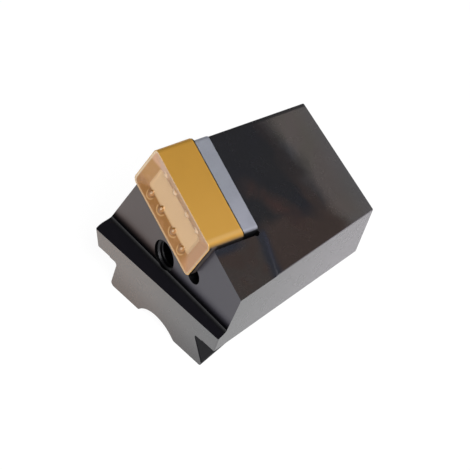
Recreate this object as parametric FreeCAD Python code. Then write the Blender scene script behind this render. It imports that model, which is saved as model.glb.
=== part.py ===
# Turning head for heavy turning: a steel block on a dovetail foot, with a long carbide insert on a
# carbide shim in a pocket that is open to the top and to the left. A lever inside the block, worked
# by a screw from the front slope, draws the insert into the corner of its pocket.
# X runs to the right along the front of the flange, Y runs back into the block and Z runs up.
# Sizes are in millimetres and angles in degrees.
import FreeCAD, Part
import math
import os

V = FreeCAD.Vector

# Flange and block
FLANGE_WIDTH = 50.9          # along X, at the underside of the flange
FLANGE_HEIGHT = 5.8          # of the front face above the underside
LEDGE_ANGLE = 33.0           # rise of the ledge from the front face to the slope
LEDGE_RADIUS = 1.4           # round at the foot of the slope
BODY_DEPTH = 53.0            # front face to rear face
SIDE_TAPER = 8.3             # each side turns in towards the rear
RIGHT_LEAN = 19.0            # right side leans out going up
LEFT_LEAN = 7.0              # left side leans out going up
EDGE_BREAK = 0.35            # chamfer on the outer edges of the block

# Foot
FOOT_HEIGHT = 9.6
FOOT_NECK_WIDTH = 33.8       # at the underside of the flange, at the front
FOOT_FLANK_ANGLE = 18.7      # flanks widen downwards
FOOT_TAPER = 13.7            # each flank turns in towards the rear
FOOT_LENGTH = 36.0
FOOT_ROOT = 1.5              # sunk into the flange
FOOT_NECK_RADIUS = 1.6
FOOT_CORNER_RADIUS = 1.2
NOTCH_RADIUS = 10.1          # half-round notch along the underside of the foot
NOTCH_DEPTH = 3.5
NOTCH_CORNER_RADIUS = 0.7

# Seat of the insert. Its own axes are: x along the long edge, y from the rake face to the seat,
# z up along the short edge. Its origin is the upper left corner of the rake face.
SEAT_X = -6.26               # place of that corner from the middle of the flange
SEAT_Y = 6.0
SEAT_Z = 44.4                # above the underside of the flange
SEAT_ROLL = 28.4             # the long edge falls to the right
SEAT_YAW = 5.0               # the right end comes forward
SEAT_PITCH = 5.5             # the lower edge comes forward

# Insert
INSERT_LENGTH = 30.0
INSERT_WIDTH = 17.2
INSERT_THICKNESS = 11.2
INSERT_CORNER_RADIUS = 1.6
EDGE_LAND = 0.5              # flat land along the cutting edges
BREAKER_END_RUN = 4.6        # from the land to the floor of the chip breaker, at the short sides
BREAKER_SIDE_RUN = 4.4       # the same at the long sides
BREAKER_DEPTH = 1.1
BUMP_RADIUS = 1.15           # of each rounded finger on the long slopes of the chip breaker
BUMP_LENGTH = 4.4
BUMP_CREST = 0.34            # crest of the finger below the rake face
BUMP_INNER_X = 3.3           # inner fingers from the middle of the insert, along it and across it
BUMP_INNER_Z = 5.5
BUMP_OUTER_X = 8.4           # outer fingers
BUMP_OUTER_Z = 6.0
BLIND_HOLE_RADIUS = 3.7
BLIND_HOLE_DEPTH = 6.0       # in the seat side of the insert

# Block about the insert
SLOPE_DROP = 2.1             # slope below the rake face
TOP_DROP = 2.25              # top below the upper long side of the insert
END_DROP = 0.86              # left end of the block inside the end of the insert
FACET_STEP = 0.3             # top beside the pocket below the top behind it
FACET_RISE_ANGLE = 20.0
FACET_SKEW = 9.0             # back edge of the facet comes forward to the right
FACET_BACK = 1.0             # back edge behind the seat, at the wall of the pocket
WALL_GAP = 0.1               # end of the insert to the right wall of the pocket
REST_GAP = 0.02              # insert to the lower wall of the pocket
RELIEF_RADIUS = 2.6          # corner relief hole of the pocket
RELIEF_EXTRA = 1.0           # relief hole deeper than the seat

# Shim
SHIM_THICKNESS = 4.45
SHIM_LEFT_INSET = 1.0        # inside the ends of the insert
SHIM_RIGHT_INSET = 0.6
SHIM_SIDE_INSET = 0.15
SHIM_CORNER_RADIUS = 1.2

# Sleeve that holds the shim
SLEEVE_RADIUS = 4.5
SLEEVE_WALL = 1.0
SLEEVE_LENGTH = 8.8
SLEEVE_INSET = 0.4           # below the face of the shim
SLEEVE_SLOT = 1.2
SLEEVE_FIT = 0.02

# Lever
LEVER_LEG_RADIUS = 2.3
LEVER_HEAD_RADIUS = 2.7
LEVER_HEAD_LENGTH = 3.0
LEVER_HEAD_GAP = 0.9         # head to the bottom of the blind hole
LEVER_SIDE_GAP = 0.08        # head to the wall of the blind hole, towards the pocket corner
PIVOT_DEPTH = 9.4            # pivot below the seat of the shim
HEEL_RADIUS = 3.3
ARM_WIDTH = 4.8
ARM_HEIGHT = 4.4
NOSE_GAP = 0.2               # nose to the waist of the screw
LEVER_ROCK = 3.0             # unclamping turn of the lever
LEVER_ROOM = 0.5             # room round the lever in the block

# Lever screw
SCREW_X = 20.06              # place of the screw along the insert and below its upper long side
SCREW_Z = 25.48
SCREW_RADIUS = 4.2
SCREW_WAIST_RADIUS = 2.3
SCREW_HEAD_DEPTH = 4.6       # head below the slope
SCREW_TAIL = 5.5             # beyond the waist
SCREW_FIT = 0.08
WAIST_GAP = 0.15             # nose to each side of the waist
BORE_EXTRA = 1.2             # bore deeper than the screw
SOCKET_FLATS = 4.0
SOCKET_DEPTH = 3.2
MOUTH_CHAMFER = 0.35

REACH = 200.0                # size of the cutting blocks, larger than the head


def direction(yaw, lean):
    """Outward direction in plan at yaw from X towards Y, leaning down by lean."""
    a, b = math.radians(yaw), math.radians(lean)
    return V(math.cos(a) * math.cos(b), math.sin(a) * math.cos(b), -math.sin(b))


def beyond(point, normal):
    """Block that fills the side of a plane that its normal points to."""
    block = Part.makeBox(2 * REACH, 2 * REACH, REACH, V(-REACH, -REACH, 0))
    block.Placement = FreeCAD.Placement(point, FreeCAD.Rotation(V(0, 0, 1), normal))
    return block


def seat_placement():
    """Place of the insert's own axes in the head."""
    turn = FreeCAD.Rotation(V(0, 1, 0), SEAT_ROLL)
    turn = turn.multiply(FreeCAD.Rotation(V(0, 0, 1), -SEAT_YAW))
    turn = turn.multiply(FreeCAD.Rotation(V(1, 0, 0), -SEAT_PITCH))
    return FreeCAD.Placement(V(SEAT_X, SEAT_Y, SEAT_Z), turn)


SEAT = seat_placement()
SEAT_DEPTH = INSERT_THICKNESS + SHIM_THICKNESS


def to_head(shape):
    """Move a shape from the insert's own axes to the head."""
    moved = shape.copy()
    moved.Placement = SEAT.multiply(moved.Placement)
    return moved


def seat_plane(point, normal):
    """Block beyond a plane given in the insert's own axes."""
    return beyond(SEAT.multVec(point), SEAT.Rotation.multVec(normal))


def foot_flank(side):
    """Block beyond a flank of the foot: side is 1 on the right and -1 on the left."""
    taper = math.tan(math.radians(FOOT_TAPER))
    spread = math.tan(math.radians(FOOT_FLANK_ANGLE))
    return beyond(V(side * FOOT_NECK_WIDTH / 2, 0, 0), V(side, taper, spread))


def edges_at(shape, height):
    """Long edges of the foot at a height, from front to rear."""
    found = []
    for edge in shape.Edges:
        box = edge.BoundBox
        if abs(box.ZMin - height) < 1e-4 and abs(box.ZMax - height) < 1e-4 and box.YLength > FOOT_LENGTH / 2:
            found.append(edge)
    return found


def make_foot():
    """Tapering dovetail foot with its half-round notch, on a root that sinks into the flange."""
    foot = Part.makeBox(REACH, FOOT_LENGTH, FOOT_HEIGHT + FOOT_ROOT, V(-REACH / 2, 0, -FOOT_HEIGHT))
    foot = foot.cut(foot_flank(1)).cut(foot_flank(-1))
    shoulder = FOOT_NECK_WIDTH / 2 + 2 * FOOT_NECK_RADIUS
    root = Part.makeBox(2 * shoulder, FOOT_LENGTH, FOOT_ROOT, V(-shoulder, 0, 0))
    foot = foot.fuse(root).removeSplitter()
    necks = [e for e in edges_at(foot, 0) if abs(e.BoundBox.Center.x) < FOOT_NECK_WIDTH / 2]
    foot = foot.makeFillet(FOOT_NECK_RADIUS, necks)
    foot = foot.makeFillet(FOOT_CORNER_RADIUS, edges_at(foot, -FOOT_HEIGHT))
    centre = NOTCH_DEPTH - FOOT_HEIGHT - NOTCH_RADIUS
    notch = Part.makeCylinder(NOTCH_RADIUS, 2 * FOOT_LENGTH, V(0, -FOOT_LENGTH / 2, centre), V(0, 1, 0))
    foot = foot.cut(notch)
    half = math.sqrt(NOTCH_RADIUS ** 2 - (NOTCH_RADIUS - NOTCH_DEPTH) ** 2)
    corners = [e for e in edges_at(foot, -FOOT_HEIGHT) if abs(abs(e.BoundBox.Center.x) - half) < 1e-3]
    return foot.makeFillet(NOTCH_CORNER_RADIUS, corners)


def make_block():
    """Flange and block, cut from stock by their planes, with broken edges."""
    half = FLANGE_WIDTH / 2
    stock = Part.makeBox(REACH, BODY_DEPTH, REACH, V(-REACH / 2, 0, 0))
    block = stock.cut(beyond(V(half, 0, 0), direction(SIDE_TAPER, RIGHT_LEAN)))
    block = block.cut(beyond(V(-half, 0, 0), direction(180 - SIDE_TAPER, LEFT_LEAN)))
    block = block.cut(seat_plane(V(END_DROP, 0, 0), V(-1, 0, 0)))
    block = block.cut(seat_plane(V(0, 0, -TOP_DROP), V(0, 0, 1)))
    block = block.makeChamfer(EDGE_BREAK, block.Edges)
    rise = math.radians(LEDGE_ANGLE)
    ledge_normal = V(0, -math.sin(rise), math.cos(rise))
    ledge = beyond(V(0, 0, FLANGE_HEIGHT), ledge_normal)
    slope = seat_plane(V(0, SLOPE_DROP, 0), V(0, -1, 0))
    step = ledge.common(slope)
    block = block.cut(step)
    return round_ledge(block, ledge_normal)


def round_ledge(block, ledge_normal):
    """Round the inner corner where the ledge meets the slope."""
    slope_point = SEAT.multVec(V(0, SLOPE_DROP, 0))
    slope_normal = SEAT.Rotation.multVec(V(0, 1, 0))
    corner = []
    for edge in block.Edges:
        ends = [v.Point for v in edge.Vertexes]
        on_ledge = all(abs((p - V(0, 0, FLANGE_HEIGHT)).dot(ledge_normal)) < 1e-4 for p in ends)
        on_slope = all(abs((p - slope_point).dot(slope_normal)) < 1e-4 for p in ends)
        if on_ledge and on_slope:
            corner.append(edge)
    return block.makeFillet(LEDGE_RADIUS, corner)


def pocket_cut():
    """Pocket for the insert and shim, open to the top and to the left, with its relief hole."""
    right = INSERT_LENGTH + WALL_GAP
    low = INSERT_WIDTH + REST_GAP
    pocket = Part.makeBox(right + REACH, SEAT_DEPTH + REACH, low + REACH, V(-REACH, -REACH, -low))
    relief = Part.makeCylinder(RELIEF_RADIUS, REACH + SEAT_DEPTH + RELIEF_EXTRA,
                               V(right, -REACH, -low), V(0, 1, 0))
    return pocket.fuse(relief)


def facet_cut():
    """Shallow facet on the top beside the pocket, with a soft rise at its back."""
    rise, skew = math.radians(FACET_RISE_ANGLE), math.radians(FACET_SKEW)
    foot = V(INSERT_LENGTH + WALL_GAP, SEAT_DEPTH + FACET_BACK, -TOP_DROP - FACET_STEP)
    forward = V(-math.sin(skew), -math.cos(skew), 0)
    above = beyond(foot, V(0, 0, 1))
    ahead = beyond(foot, forward * math.sin(rise) + V(0, 0, math.cos(rise)))
    beside = beyond(V(INSERT_LENGTH, 0, 0), V(1, 0, 0))
    return above.common(ahead).common(beside)


def lever_axes():
    """Middle of the blind hole, middle of the leg, and the direction from the leg to the screw."""
    hole = V(INSERT_LENGTH / 2, 0, -INSERT_WIDTH / 2)
    along = V(SCREW_X, 0, -SCREW_Z) - hole
    along.normalize()
    leg = hole + along * (BLIND_HOLE_RADIUS - LEVER_HEAD_RADIUS - LEVER_SIDE_GAP)
    return hole, leg, along


HOLE, LEG, ALONG = lever_axes()
PIVOT = LEG + V(0, SEAT_DEPTH + PIVOT_DEPTH, 0)
SCREW = V(SCREW_X, 0, -SCREW_Z)
NOSE_RUN = (SCREW - LEG).Length - SCREW_WAIST_RADIUS - NOSE_GAP - ARM_HEIGHT / 2
SCREW_END = PIVOT.y + ARM_HEIGHT / 2 + WAIST_GAP + SCREW_TAIL


def along_lever(shape):
    """Turn a shape drawn along X to lie along the arm, from the pivot."""
    turned = shape.copy()
    angle = math.degrees(math.atan2(-ALONG.z, ALONG.x))
    turned.Placement = FreeCAD.Placement(PIVOT, FreeCAD.Rotation(V(0, 1, 0), angle))
    return turned


def lever_room():
    """Space in the block for the sleeve, the lever and the screw."""
    sleeve = Part.makeCylinder(SLEEVE_RADIUS + SLEEVE_FIT, SLEEVE_LENGTH + SLEEVE_INSET - SHIM_THICKNESS,
                               V(HOLE.x, SEAT_DEPTH, HOLE.z), V(0, 1, 0))
    heel_depth = PIVOT_DEPTH + HEEL_RADIUS + LEVER_ROOM
    leg = Part.makeCylinder(HEEL_RADIUS + LEVER_ROOM, heel_depth, V(LEG.x, SEAT_DEPTH, LEG.z), V(0, 1, 0))
    swing = NOSE_RUN * math.tan(math.radians(LEVER_ROCK)) + LEVER_ROOM
    height = ARM_HEIGHT + swing + LEVER_ROOM
    width = ARM_WIDTH + 2 * LEVER_ROOM
    arm = along_lever(Part.makeBox(NOSE_RUN + ARM_HEIGHT, height, width,
                                   V(0, -ARM_HEIGHT / 2 - swing, -width / 2)))
    bore = Part.makeCylinder(SCREW_RADIUS + SCREW_FIT, REACH + SCREW_END + BORE_EXTRA,
                             SCREW - V(0, REACH, 0), V(0, 1, 0))
    wide = SCREW_RADIUS + SCREW_FIT + MOUTH_CHAMFER
    mouth = Part.makeCone(wide, SCREW_RADIUS + SCREW_FIT, MOUTH_CHAMFER,
                          SCREW + V(0, SLOPE_DROP, 0), V(0, 1, 0))
    return sleeve.multiFuse([leg, arm, bore, mouth])


def make_body():
    """Steel body of the head."""
    body = make_block().fuse(make_foot())
    for cut in (pocket_cut(), facet_cut(), lever_room()):
        body = body.cut(to_head(cut))
    return body.removeSplitter()


def round_upright(shape, radius):
    """Round the four edges that run along y at the corners of a plate."""
    edges = [e for e in shape.Edges if e.BoundBox.XLength < 1e-6 and e.BoundBox.ZLength < 1e-6]
    return shape.makeFillet(radius, edges)


def breaker_cut():
    """Hipped recess of the chip breaker, from the edge land down to its flat floor."""
    wires = []
    for end_run, side_run, depth in ((0, 0, 0), (BREAKER_END_RUN, BREAKER_SIDE_RUN, BREAKER_DEPTH)):
        left, high = EDGE_LAND + end_run, -EDGE_LAND - side_run
        right, low = INSERT_LENGTH - left, -INSERT_WIDTH - high
        corners = [V(left, depth, high), V(right, depth, high), V(right, depth, low), V(left, depth, low)]
        wires.append(Part.makePolygon(corners + corners[:1]))
    return Part.makeLoft(wires, True, True)


def finger(x, z):
    """Rounded finger that lies across the insert, centred at x and z."""
    half = BUMP_LENGTH / 2
    oval = Part.Ellipse(V(0, 0, half), V(BUMP_RADIUS, 0, 0), V(0, 0, 0))
    arc = Part.ArcOfEllipse(oval, 0, math.pi).toShape()
    middle = Part.makeLine(V(0, 0, -half), V(0, 0, half))
    body = Part.Face(Part.Wire([arc, middle])).revolve(V(0, 0, 0), V(0, 0, 1), 360)
    body.translate(V(x, BUMP_CREST + BUMP_RADIUS, z))
    return body


def breaker_bumps():
    """Fingers on the two long slopes of the chip breaker, four on each."""
    fingers = []
    for off_x, off_z in ((BUMP_INNER_X, BUMP_INNER_Z), (BUMP_OUTER_X, BUMP_OUTER_Z)):
        for x in (INSERT_LENGTH / 2 - off_x, INSERT_LENGTH / 2 + off_x):
            for z in (-INSERT_WIDTH / 2 - off_z, -INSERT_WIDTH / 2 + off_z):
                fingers.append(finger(x, z))
    return fingers


def make_insert():
    """Carbide insert with its chip breaker and the blind hole of the lever."""
    insert = Part.makeBox(INSERT_LENGTH, INSERT_THICKNESS, INSERT_WIDTH, V(0, 0, -INSERT_WIDTH))
    insert = round_upright(insert, INSERT_CORNER_RADIUS)
    insert = insert.cut(breaker_cut())
    insert = insert.multiFuse(breaker_bumps())
    hole = Part.makeCylinder(BLIND_HOLE_RADIUS, BLIND_HOLE_DEPTH,
                             V(HOLE.x, INSERT_THICKNESS - BLIND_HOLE_DEPTH, HOLE.z), V(0, 1, 0))
    return insert.cut(hole)


def make_shim():
    """Carbide shim under the insert, with the hole for its sleeve."""
    length = INSERT_LENGTH - SHIM_LEFT_INSET - SHIM_RIGHT_INSET
    width = INSERT_WIDTH - 2 * SHIM_SIDE_INSET
    shim = Part.makeBox(length, SHIM_THICKNESS, width,
                        V(SHIM_LEFT_INSET, INSERT_THICKNESS, SHIM_SIDE_INSET - INSERT_WIDTH))
    shim = round_upright(shim, SHIM_CORNER_RADIUS)
    hole = Part.makeCylinder(SLEEVE_RADIUS + SLEEVE_FIT, SHIM_THICKNESS,
                             V(HOLE.x, INSERT_THICKNESS, HOLE.z), V(0, 1, 0))
    return shim.cut(hole)


def make_sleeve():
    """Slotted spring sleeve that holds the shim on the block."""
    start = V(HOLE.x, INSERT_THICKNESS + SLEEVE_INSET, HOLE.z)
    outer = Part.makeCylinder(SLEEVE_RADIUS, SLEEVE_LENGTH, start, V(0, 1, 0))
    inner = Part.makeCylinder(SLEEVE_RADIUS - SLEEVE_WALL, SLEEVE_LENGTH, start, V(0, 1, 0))
    slot = Part.makeBox(2 * SLEEVE_RADIUS, SLEEVE_LENGTH, SLEEVE_SLOT,
                        start - V(2 * SLEEVE_RADIUS, 0, SLEEVE_SLOT / 2))
    return outer.cut(inner).cut(slot)


def make_lever():
    """Lever with its barrel head in the insert, its heel and the arm to the screw."""
    top = INSERT_THICKNESS - BLIND_HOLE_DEPTH + LEVER_HEAD_GAP
    neck = top + LEVER_HEAD_LENGTH
    crown = LEVER_LEG_RADIUS
    profile = [V(0, top, 0), V(crown, top, 0)]
    bulge = Part.Arc(V(crown, top, 0), V(LEVER_HEAD_RADIUS, (top + neck) / 2, 0), V(crown, neck, 0))
    line = Part.makePolygon(profile)
    foot = Part.makePolygon([V(crown, neck, 0), V(crown, PIVOT.y, 0), V(0, PIVOT.y, 0), V(0, top, 0)])
    face = Part.Face(Part.Wire(line.Edges + [bulge.toShape()] + foot.Edges))
    leg = face.revolve(V(0, 0, 0), V(0, 1, 0), 360)
    leg.translate(V(LEG.x, 0, LEG.z))
    heel = Part.makeSphere(HEEL_RADIUS, PIVOT)
    arm = Part.makeBox(NOSE_RUN, ARM_HEIGHT, ARM_WIDTH, V(0, -ARM_HEIGHT / 2, -ARM_WIDTH / 2))
    nose = Part.makeCylinder(ARM_HEIGHT / 2, ARM_WIDTH, V(NOSE_RUN, 0, -ARM_WIDTH / 2), V(0, 0, 1))
    return leg.multiFuse([heel, along_lever(arm.fuse(nose))])


def make_screw():
    """Lever screw with its waist and hexagon socket."""
    head = SLOPE_DROP + SCREW_HEAD_DEPTH
    screw = Part.makeCylinder(SCREW_RADIUS, SCREW_END - head, SCREW + V(0, head, 0), V(0, 1, 0))
    ends = [e for e in screw.Edges if len(e.Vertexes) == 1]
    screw = screw.makeChamfer(MOUTH_CHAMFER, ends)
    width = ARM_HEIGHT + 2 * WAIST_GAP
    start = SCREW + V(0, PIVOT.y - width / 2, 0)
    ring = Part.makeCylinder(2 * SCREW_RADIUS, width, start, V(0, 1, 0))
    core = Part.makeCylinder(SCREW_WAIST_RADIUS, width, start, V(0, 1, 0))
    screw = screw.cut(ring.cut(core))
    across = SOCKET_FLATS / math.sqrt(3)
    corners = []
    for i in range(7):
        angle = math.radians(60 * i)
        corners.append(SCREW + V(across * math.cos(angle), head, across * math.sin(angle)))
    socket = Part.Face(Part.makePolygon(corners)).extrude(V(0, SOCKET_DEPTH, 0))
    return screw.cut(socket)


def main():
    parts = {
        "head_body": make_body(),
        "insert": to_head(make_insert()),
        "shim": to_head(make_shim()),
        "shim_sleeve": to_head(make_sleeve()),
        "clamp_lever": to_head(make_lever()),
        "lever_screw": to_head(make_screw()),
    }
    box = FreeCAD.BoundBox()
    for shape in parts.values():
        box.add(shape.optimalBoundingBox(False, False))
    origin = V(box.Center.x, box.Center.y, box.ZMin)
    os.makedirs("parts", exist_ok=True)
    for name, shape in parts.items():
        moved = shape.copy()
        moved.translate(-origin)
        moved.exportStep(f"parts/{name}.step")
        print(name, "solids", len(moved.Solids), "valid", moved.isValid(), "volume", round(moved.Volume, 1))
    pivot = SEAT.multVec(PIVOT) - origin
    axis = SEAT.Rotation.multVec(V(0, 1, 0).cross(ALONG))
    travel = SEAT.Rotation.multVec(V(0, -1, 0))
    print("size", box.XLength, box.YLength, box.ZLength)
    print("lever pivot", tuple(pivot), "axis", tuple(axis), "nose run", NOSE_RUN)
    print("screw travel", tuple(travel), "foot middle", tuple(V(0, 0, -FOOT_HEIGHT) - origin))


main()
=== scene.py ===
"""Visual model of the turning head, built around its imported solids.

The workbench is in millimetres. Two sets of axes are used, as in the source of the solids: the head's own,
with X along the front of the flange, Y back and Z up from its underside, and the seat's own, with X along the
insert, Y from its rake face to the seat and Z up its short edge.
"""

import logging
import math
from dataclasses import dataclass
from enum import Enum
from itertools import product
from typing import Any, Callable, Sequence

import bmesh
import bpy
from mathutils import Matrix, Vector


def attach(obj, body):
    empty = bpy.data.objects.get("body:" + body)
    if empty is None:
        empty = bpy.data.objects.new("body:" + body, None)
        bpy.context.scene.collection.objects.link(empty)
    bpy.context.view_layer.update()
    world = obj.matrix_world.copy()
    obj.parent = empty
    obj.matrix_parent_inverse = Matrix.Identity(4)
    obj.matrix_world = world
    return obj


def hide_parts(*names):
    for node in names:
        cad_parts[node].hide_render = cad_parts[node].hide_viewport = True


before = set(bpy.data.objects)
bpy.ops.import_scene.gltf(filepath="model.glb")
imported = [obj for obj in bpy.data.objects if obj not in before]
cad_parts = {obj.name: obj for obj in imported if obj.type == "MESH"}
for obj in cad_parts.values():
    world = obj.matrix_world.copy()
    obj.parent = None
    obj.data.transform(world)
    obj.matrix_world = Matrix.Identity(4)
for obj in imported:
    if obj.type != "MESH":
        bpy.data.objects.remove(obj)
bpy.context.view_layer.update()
MM = 0.001
NEAR = 1e-3
LOOSE = 5 * NEAR
SLIGHT = 0.02  # radians, or millimetres
FACING = 0.9  # cosine above which a face looks along an axis
SHARP = 60.0  # degrees, between the two faces of a sharp edge
SMOOTH_BELOW = 35.0  # degrees
CUT = "cut"

Triple = tuple[float, float, float]
Edge = bmesh.types.BMEdge
Material = bpy.types.Material

log = logging.getLogger("turning_head")


class Axes(Enum):
    """Axes that a piece is modelled in."""

    HEAD = "head"
    SEAT = "seat"


class Part(Enum):
    """Parts of a mesh that can be picked. The values are their names in BMesh."""

    VERT = "verts"
    EDGE = "edges"
    FACE = "faces"


class Join(Enum):
    """Ways to work a piece with another one. The values are the names of the boolean modifier."""

    CUT = "DIFFERENCE"
    ADD = "UNION"


class Cut(Enum):
    """How a face was machined, as the number in the face attribute that the black finish reads. The number
    also darkens the face's reflection, and the high numbers of the thread, the pocket, the foot, the bore and
    the ledge's corner paint shade there.
    """

    TOP = -1.0
    GROUND = 0.0
    SCREW = 0.6
    SLOPE = 1.0
    LEDGE = 1.1
    THREAD = 1.75
    POCKET = 1.8
    DEEP = 2.0
    CORNER = 2.1


@dataclass(frozen=True)
class Layout:
    """Where the head and the seat lie in the row frame, in millimetres and degrees."""

    head: Triple = (-2.939077, -26.5, 9.6)
    seat: Triple = (-6.26, 6.0, 44.4)
    seat_roll: float = 28.4
    seat_yaw: float = 5.0
    seat_pitch: float = 5.5

    def seat_in_head(self) -> Matrix:
        """Place of the seat's axes in the head's axes.

        Returns:
            The matrix, in millimetres.
        """
        turn = Matrix.Rotation(math.radians(self.seat_roll), 4, "Y")
        turn = turn @ Matrix.Rotation(math.radians(-self.seat_yaw), 4, "Z")
        turn = turn @ Matrix.Rotation(math.radians(-self.seat_pitch), 4, "X")
        return Matrix.Translation(self.seat) @ turn

    def to_row(self, axes: Axes) -> Matrix:
        """Matrix from millimetres in the given axes to metres in the row frame."""
        head = Matrix.Scale(MM, 4) @ Matrix.Translation(self.head)
        return head @ self.seat_in_head() if axes is Axes.SEAT else head


@dataclass(frozen=True)
class Sizes:
    """Sizes that more than one piece or finish needs, in millimetres and degrees."""

    length: float = 30.0
    width: float = 17.2
    thickness: float = 11.2
    insert_corner: float = 1.6
    breaker_depth: float = 1.1
    fingers: tuple[tuple[float, float], ...] = ((3.3, 5.5), (8.4, 6.0))
    slot: float = 0.34
    seat_depth: float = 15.65
    shim_end: float = 29.4
    shim_top: float = -0.15
    shim_corner: float = 1.2
    sleeve_room: float = 4.52
    hole_x: float = 15.0
    hole_z: float = -8.6
    screw_x: float = 20.06
    screw_z: float = -25.48
    slope_drop: float = 2.1
    top_drop: float = 2.25
    flange_height: float = 5.8
    ledge_angle: float = 33.0
    reach: float = 100.0


LAYOUT = Layout()
SEAT = LAYOUT.seat_in_head()


def seat_point(x: float, y: float, z: float) -> Vector:
    """A point of the seat's axes in the head's axes."""
    return SEAT @ Vector((x, y, z))


def seat_normal(x: float, y: float, z: float) -> Vector:
    """A direction of the seat's axes in the head's axes."""
    return SEAT.to_3x3() @ Vector((x, y, z))


def side_normal(yaw: float, lean: float) -> Vector:
    """Outward direction in plan at yaw from X towards Y, leaning down by lean."""
    a, b = math.radians(yaw), math.radians(lean)
    return Vector((math.cos(a) * math.cos(b), math.sin(a) * math.cos(b), -math.sin(b)))


class Workpiece:
    """One mesh that is shaped on the bench with edit-mode operators and modifiers."""

    def __init__(self, name: str) -> None:
        """Takes over the primitive that was just added and puts its place into its mesh."""
        self.obj = bpy.context.object
        self.obj.name = self.obj.data.name = name
        self.settle()

    @classmethod
    def cube(cls, name: str, low: Sequence[float], high: Sequence[float]) -> "Workpiece":
        """Box between its lowest and its highest corner.

        Args:
            name: Name of the piece.
            low: Lowest corner.
            high: Highest corner.

        Returns:
            The new workpiece.
        """
        a, b = Vector(low), Vector(high)
        bpy.ops.mesh.primitive_cube_add(size=1, location=(a + b) / 2, scale=b - a)
        return cls(name)

    @classmethod
    def rod(
        cls, name: str, start: Sequence[float], end: Sequence[float], radius: float, sides: int = 96,
        end_radius: float | None = None,
    ) -> "Workpiece":
        """Cylinder or cone between two points.

        Args:
            name: Name of the piece.
            start: Middle of the first end.
            end: Middle of the other end.
            radius: Radius at the first end.
            sides: Number of sides.
            end_radius: Radius at the other end, the same if left out.

        Returns:
            The new workpiece.
        """
        a, b = Vector(start), Vector(end)
        turn = (b - a).to_track_quat("Z", "Y").to_euler()
        other = radius if end_radius is None else end_radius
        bpy.ops.mesh.primitive_cone_add(
            vertices=sides, radius1=radius, radius2=other, depth=(b - a).length,
            location=(a + b) / 2, rotation=turn,
        )
        return cls(name)

    @classmethod
    def ball(cls, name: str, middle: Sequence[float], radii: Sequence[float]) -> "Workpiece":
        """Ball or ellipsoid, with its poles along Z."""
        bpy.ops.mesh.primitive_uv_sphere_add(
            segments=32, ring_count=20, radius=1, location=middle, scale=radii
        )
        return cls(name)

    def take(self) -> None:
        """Makes this piece the only selected one."""
        bpy.ops.object.select_all(action="DESELECT")
        self.obj.select_set(True)
        bpy.context.view_layer.objects.active = self.obj

    def settle(self) -> None:
        """Puts the object's place into its mesh."""
        self.take()
        bpy.ops.object.transform_apply(location=True, rotation=True, scale=True)

    def place(self, matrix: Matrix) -> None:
        """Applies a matrix to the mesh, with the object left at the origin."""
        self.obj.matrix_world = matrix
        self.settle()

    def edit(self, part: Part, whole: bool = False) -> None:
        """Enters edit mode.

        Args:
            part: What can be picked.
            whole: Selects the whole mesh. Otherwise nothing is selected.
        """
        self.take()
        bpy.ops.object.mode_set(mode="EDIT")
        bpy.ops.mesh.select_mode(type=part.name)
        bpy.ops.mesh.select_all(action="SELECT" if whole else "DESELECT")

    @staticmethod
    def done() -> None:
        """Leaves edit mode."""
        bpy.ops.object.mode_set(mode="OBJECT")

    def pick(self, part: Part, test: Callable[[Any], bool]) -> int:
        """Selects edges or faces, in edit mode.

        Args:
            part: Which of them.
            test: Tells whether one is wanted.

        Returns:
            How many were selected.
        """
        mesh = bmesh.from_edit_mesh(self.obj.data)
        mesh.normal_update()
        found = [one for one in getattr(mesh, part.value) if test(one)]
        for one in found:
            one.select_set(True)
        bmesh.update_edit_mesh(self.obj.data)
        return len(found)

    def slice(self, point: Vector, normal: Vector, keep_beyond: bool = False) -> None:
        """Cuts the piece at a plane and closes the cut.

        Args:
            point: A point of the plane.
            normal: Direction that the plane faces.
            keep_beyond: Keeps the side that the normal points to, not the other one.
        """
        self.edit(Part.VERT, whole=True)
        bpy.ops.mesh.bisect(
            plane_co=point, plane_no=normal, use_fill=True,
            clear_inner=keep_beyond, clear_outer=not keep_beyond,
        )
        self.done()

    def bevel(self, test: Callable[[Edge], bool], width: float, steps: int) -> int:
        """Rounds edges.

        Args:
            test: Tells whether an edge is wanted.
            width: How far the round reaches to each side.
            steps: Number of strips.

        Returns:
            How many edges there were.
        """
        self.edit(Part.EDGE)
        count = self.pick(Part.EDGE, test)
        if count:
            bpy.ops.mesh.bevel(
                offset=width, offset_type="OFFSET", segments=steps, profile=0.5, affect="EDGES",
                clamp_overlap=True,
            )
        self.done()
        return count

    def boolean(self, tool: "Workpiece", how: Join) -> None:
        """Cuts or joins another piece, which is used up.

        Args:
            tool: The other piece.
            how: Whether it is cut away or added.
        """
        self.take()
        cut = self.obj.modifiers.new("cut", "BOOLEAN")
        cut.operation = how.value
        cut.solver = "EXACT"
        cut.object = tool.obj
        bpy.ops.object.modifier_apply(modifier=cut.name)
        mesh = tool.obj.data
        bpy.data.objects.remove(tool.obj)
        bpy.data.meshes.remove(mesh)

    def cut(self, *tools: "Workpiece") -> None:
        """Takes the tools' space out of the piece."""
        for tool in tools:
            self.boolean(tool, Join.CUT)

    def add(self, *tools: "Workpiece") -> None:
        """Joins the tools to the piece."""
        for tool in tools:
            self.boolean(tool, Join.ADD)

    def clean(self) -> None:
        """Merges doubles and leaves flat faces in one piece."""
        self.edit(Part.VERT, whole=True)
        bpy.ops.mesh.remove_doubles(threshold=NEAR / 2)
        bpy.ops.mesh.dissolve_limited(angle_limit=math.radians(0.05), delimit={"MATERIAL"})
        self.done()

    def shade(self) -> None:
        """Smooth shading over slight edges, with flat faces kept flat."""
        self.take()
        bpy.ops.object.shade_smooth_by_angle(angle=math.radians(SMOOTH_BELOW))
        weigh = self.obj.modifiers.new("weigh", "WEIGHTED_NORMAL")
        weigh.keep_sharp = True
        weigh.weight = 100
        bpy.ops.object.modifier_apply(modifier=weigh.name)

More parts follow.
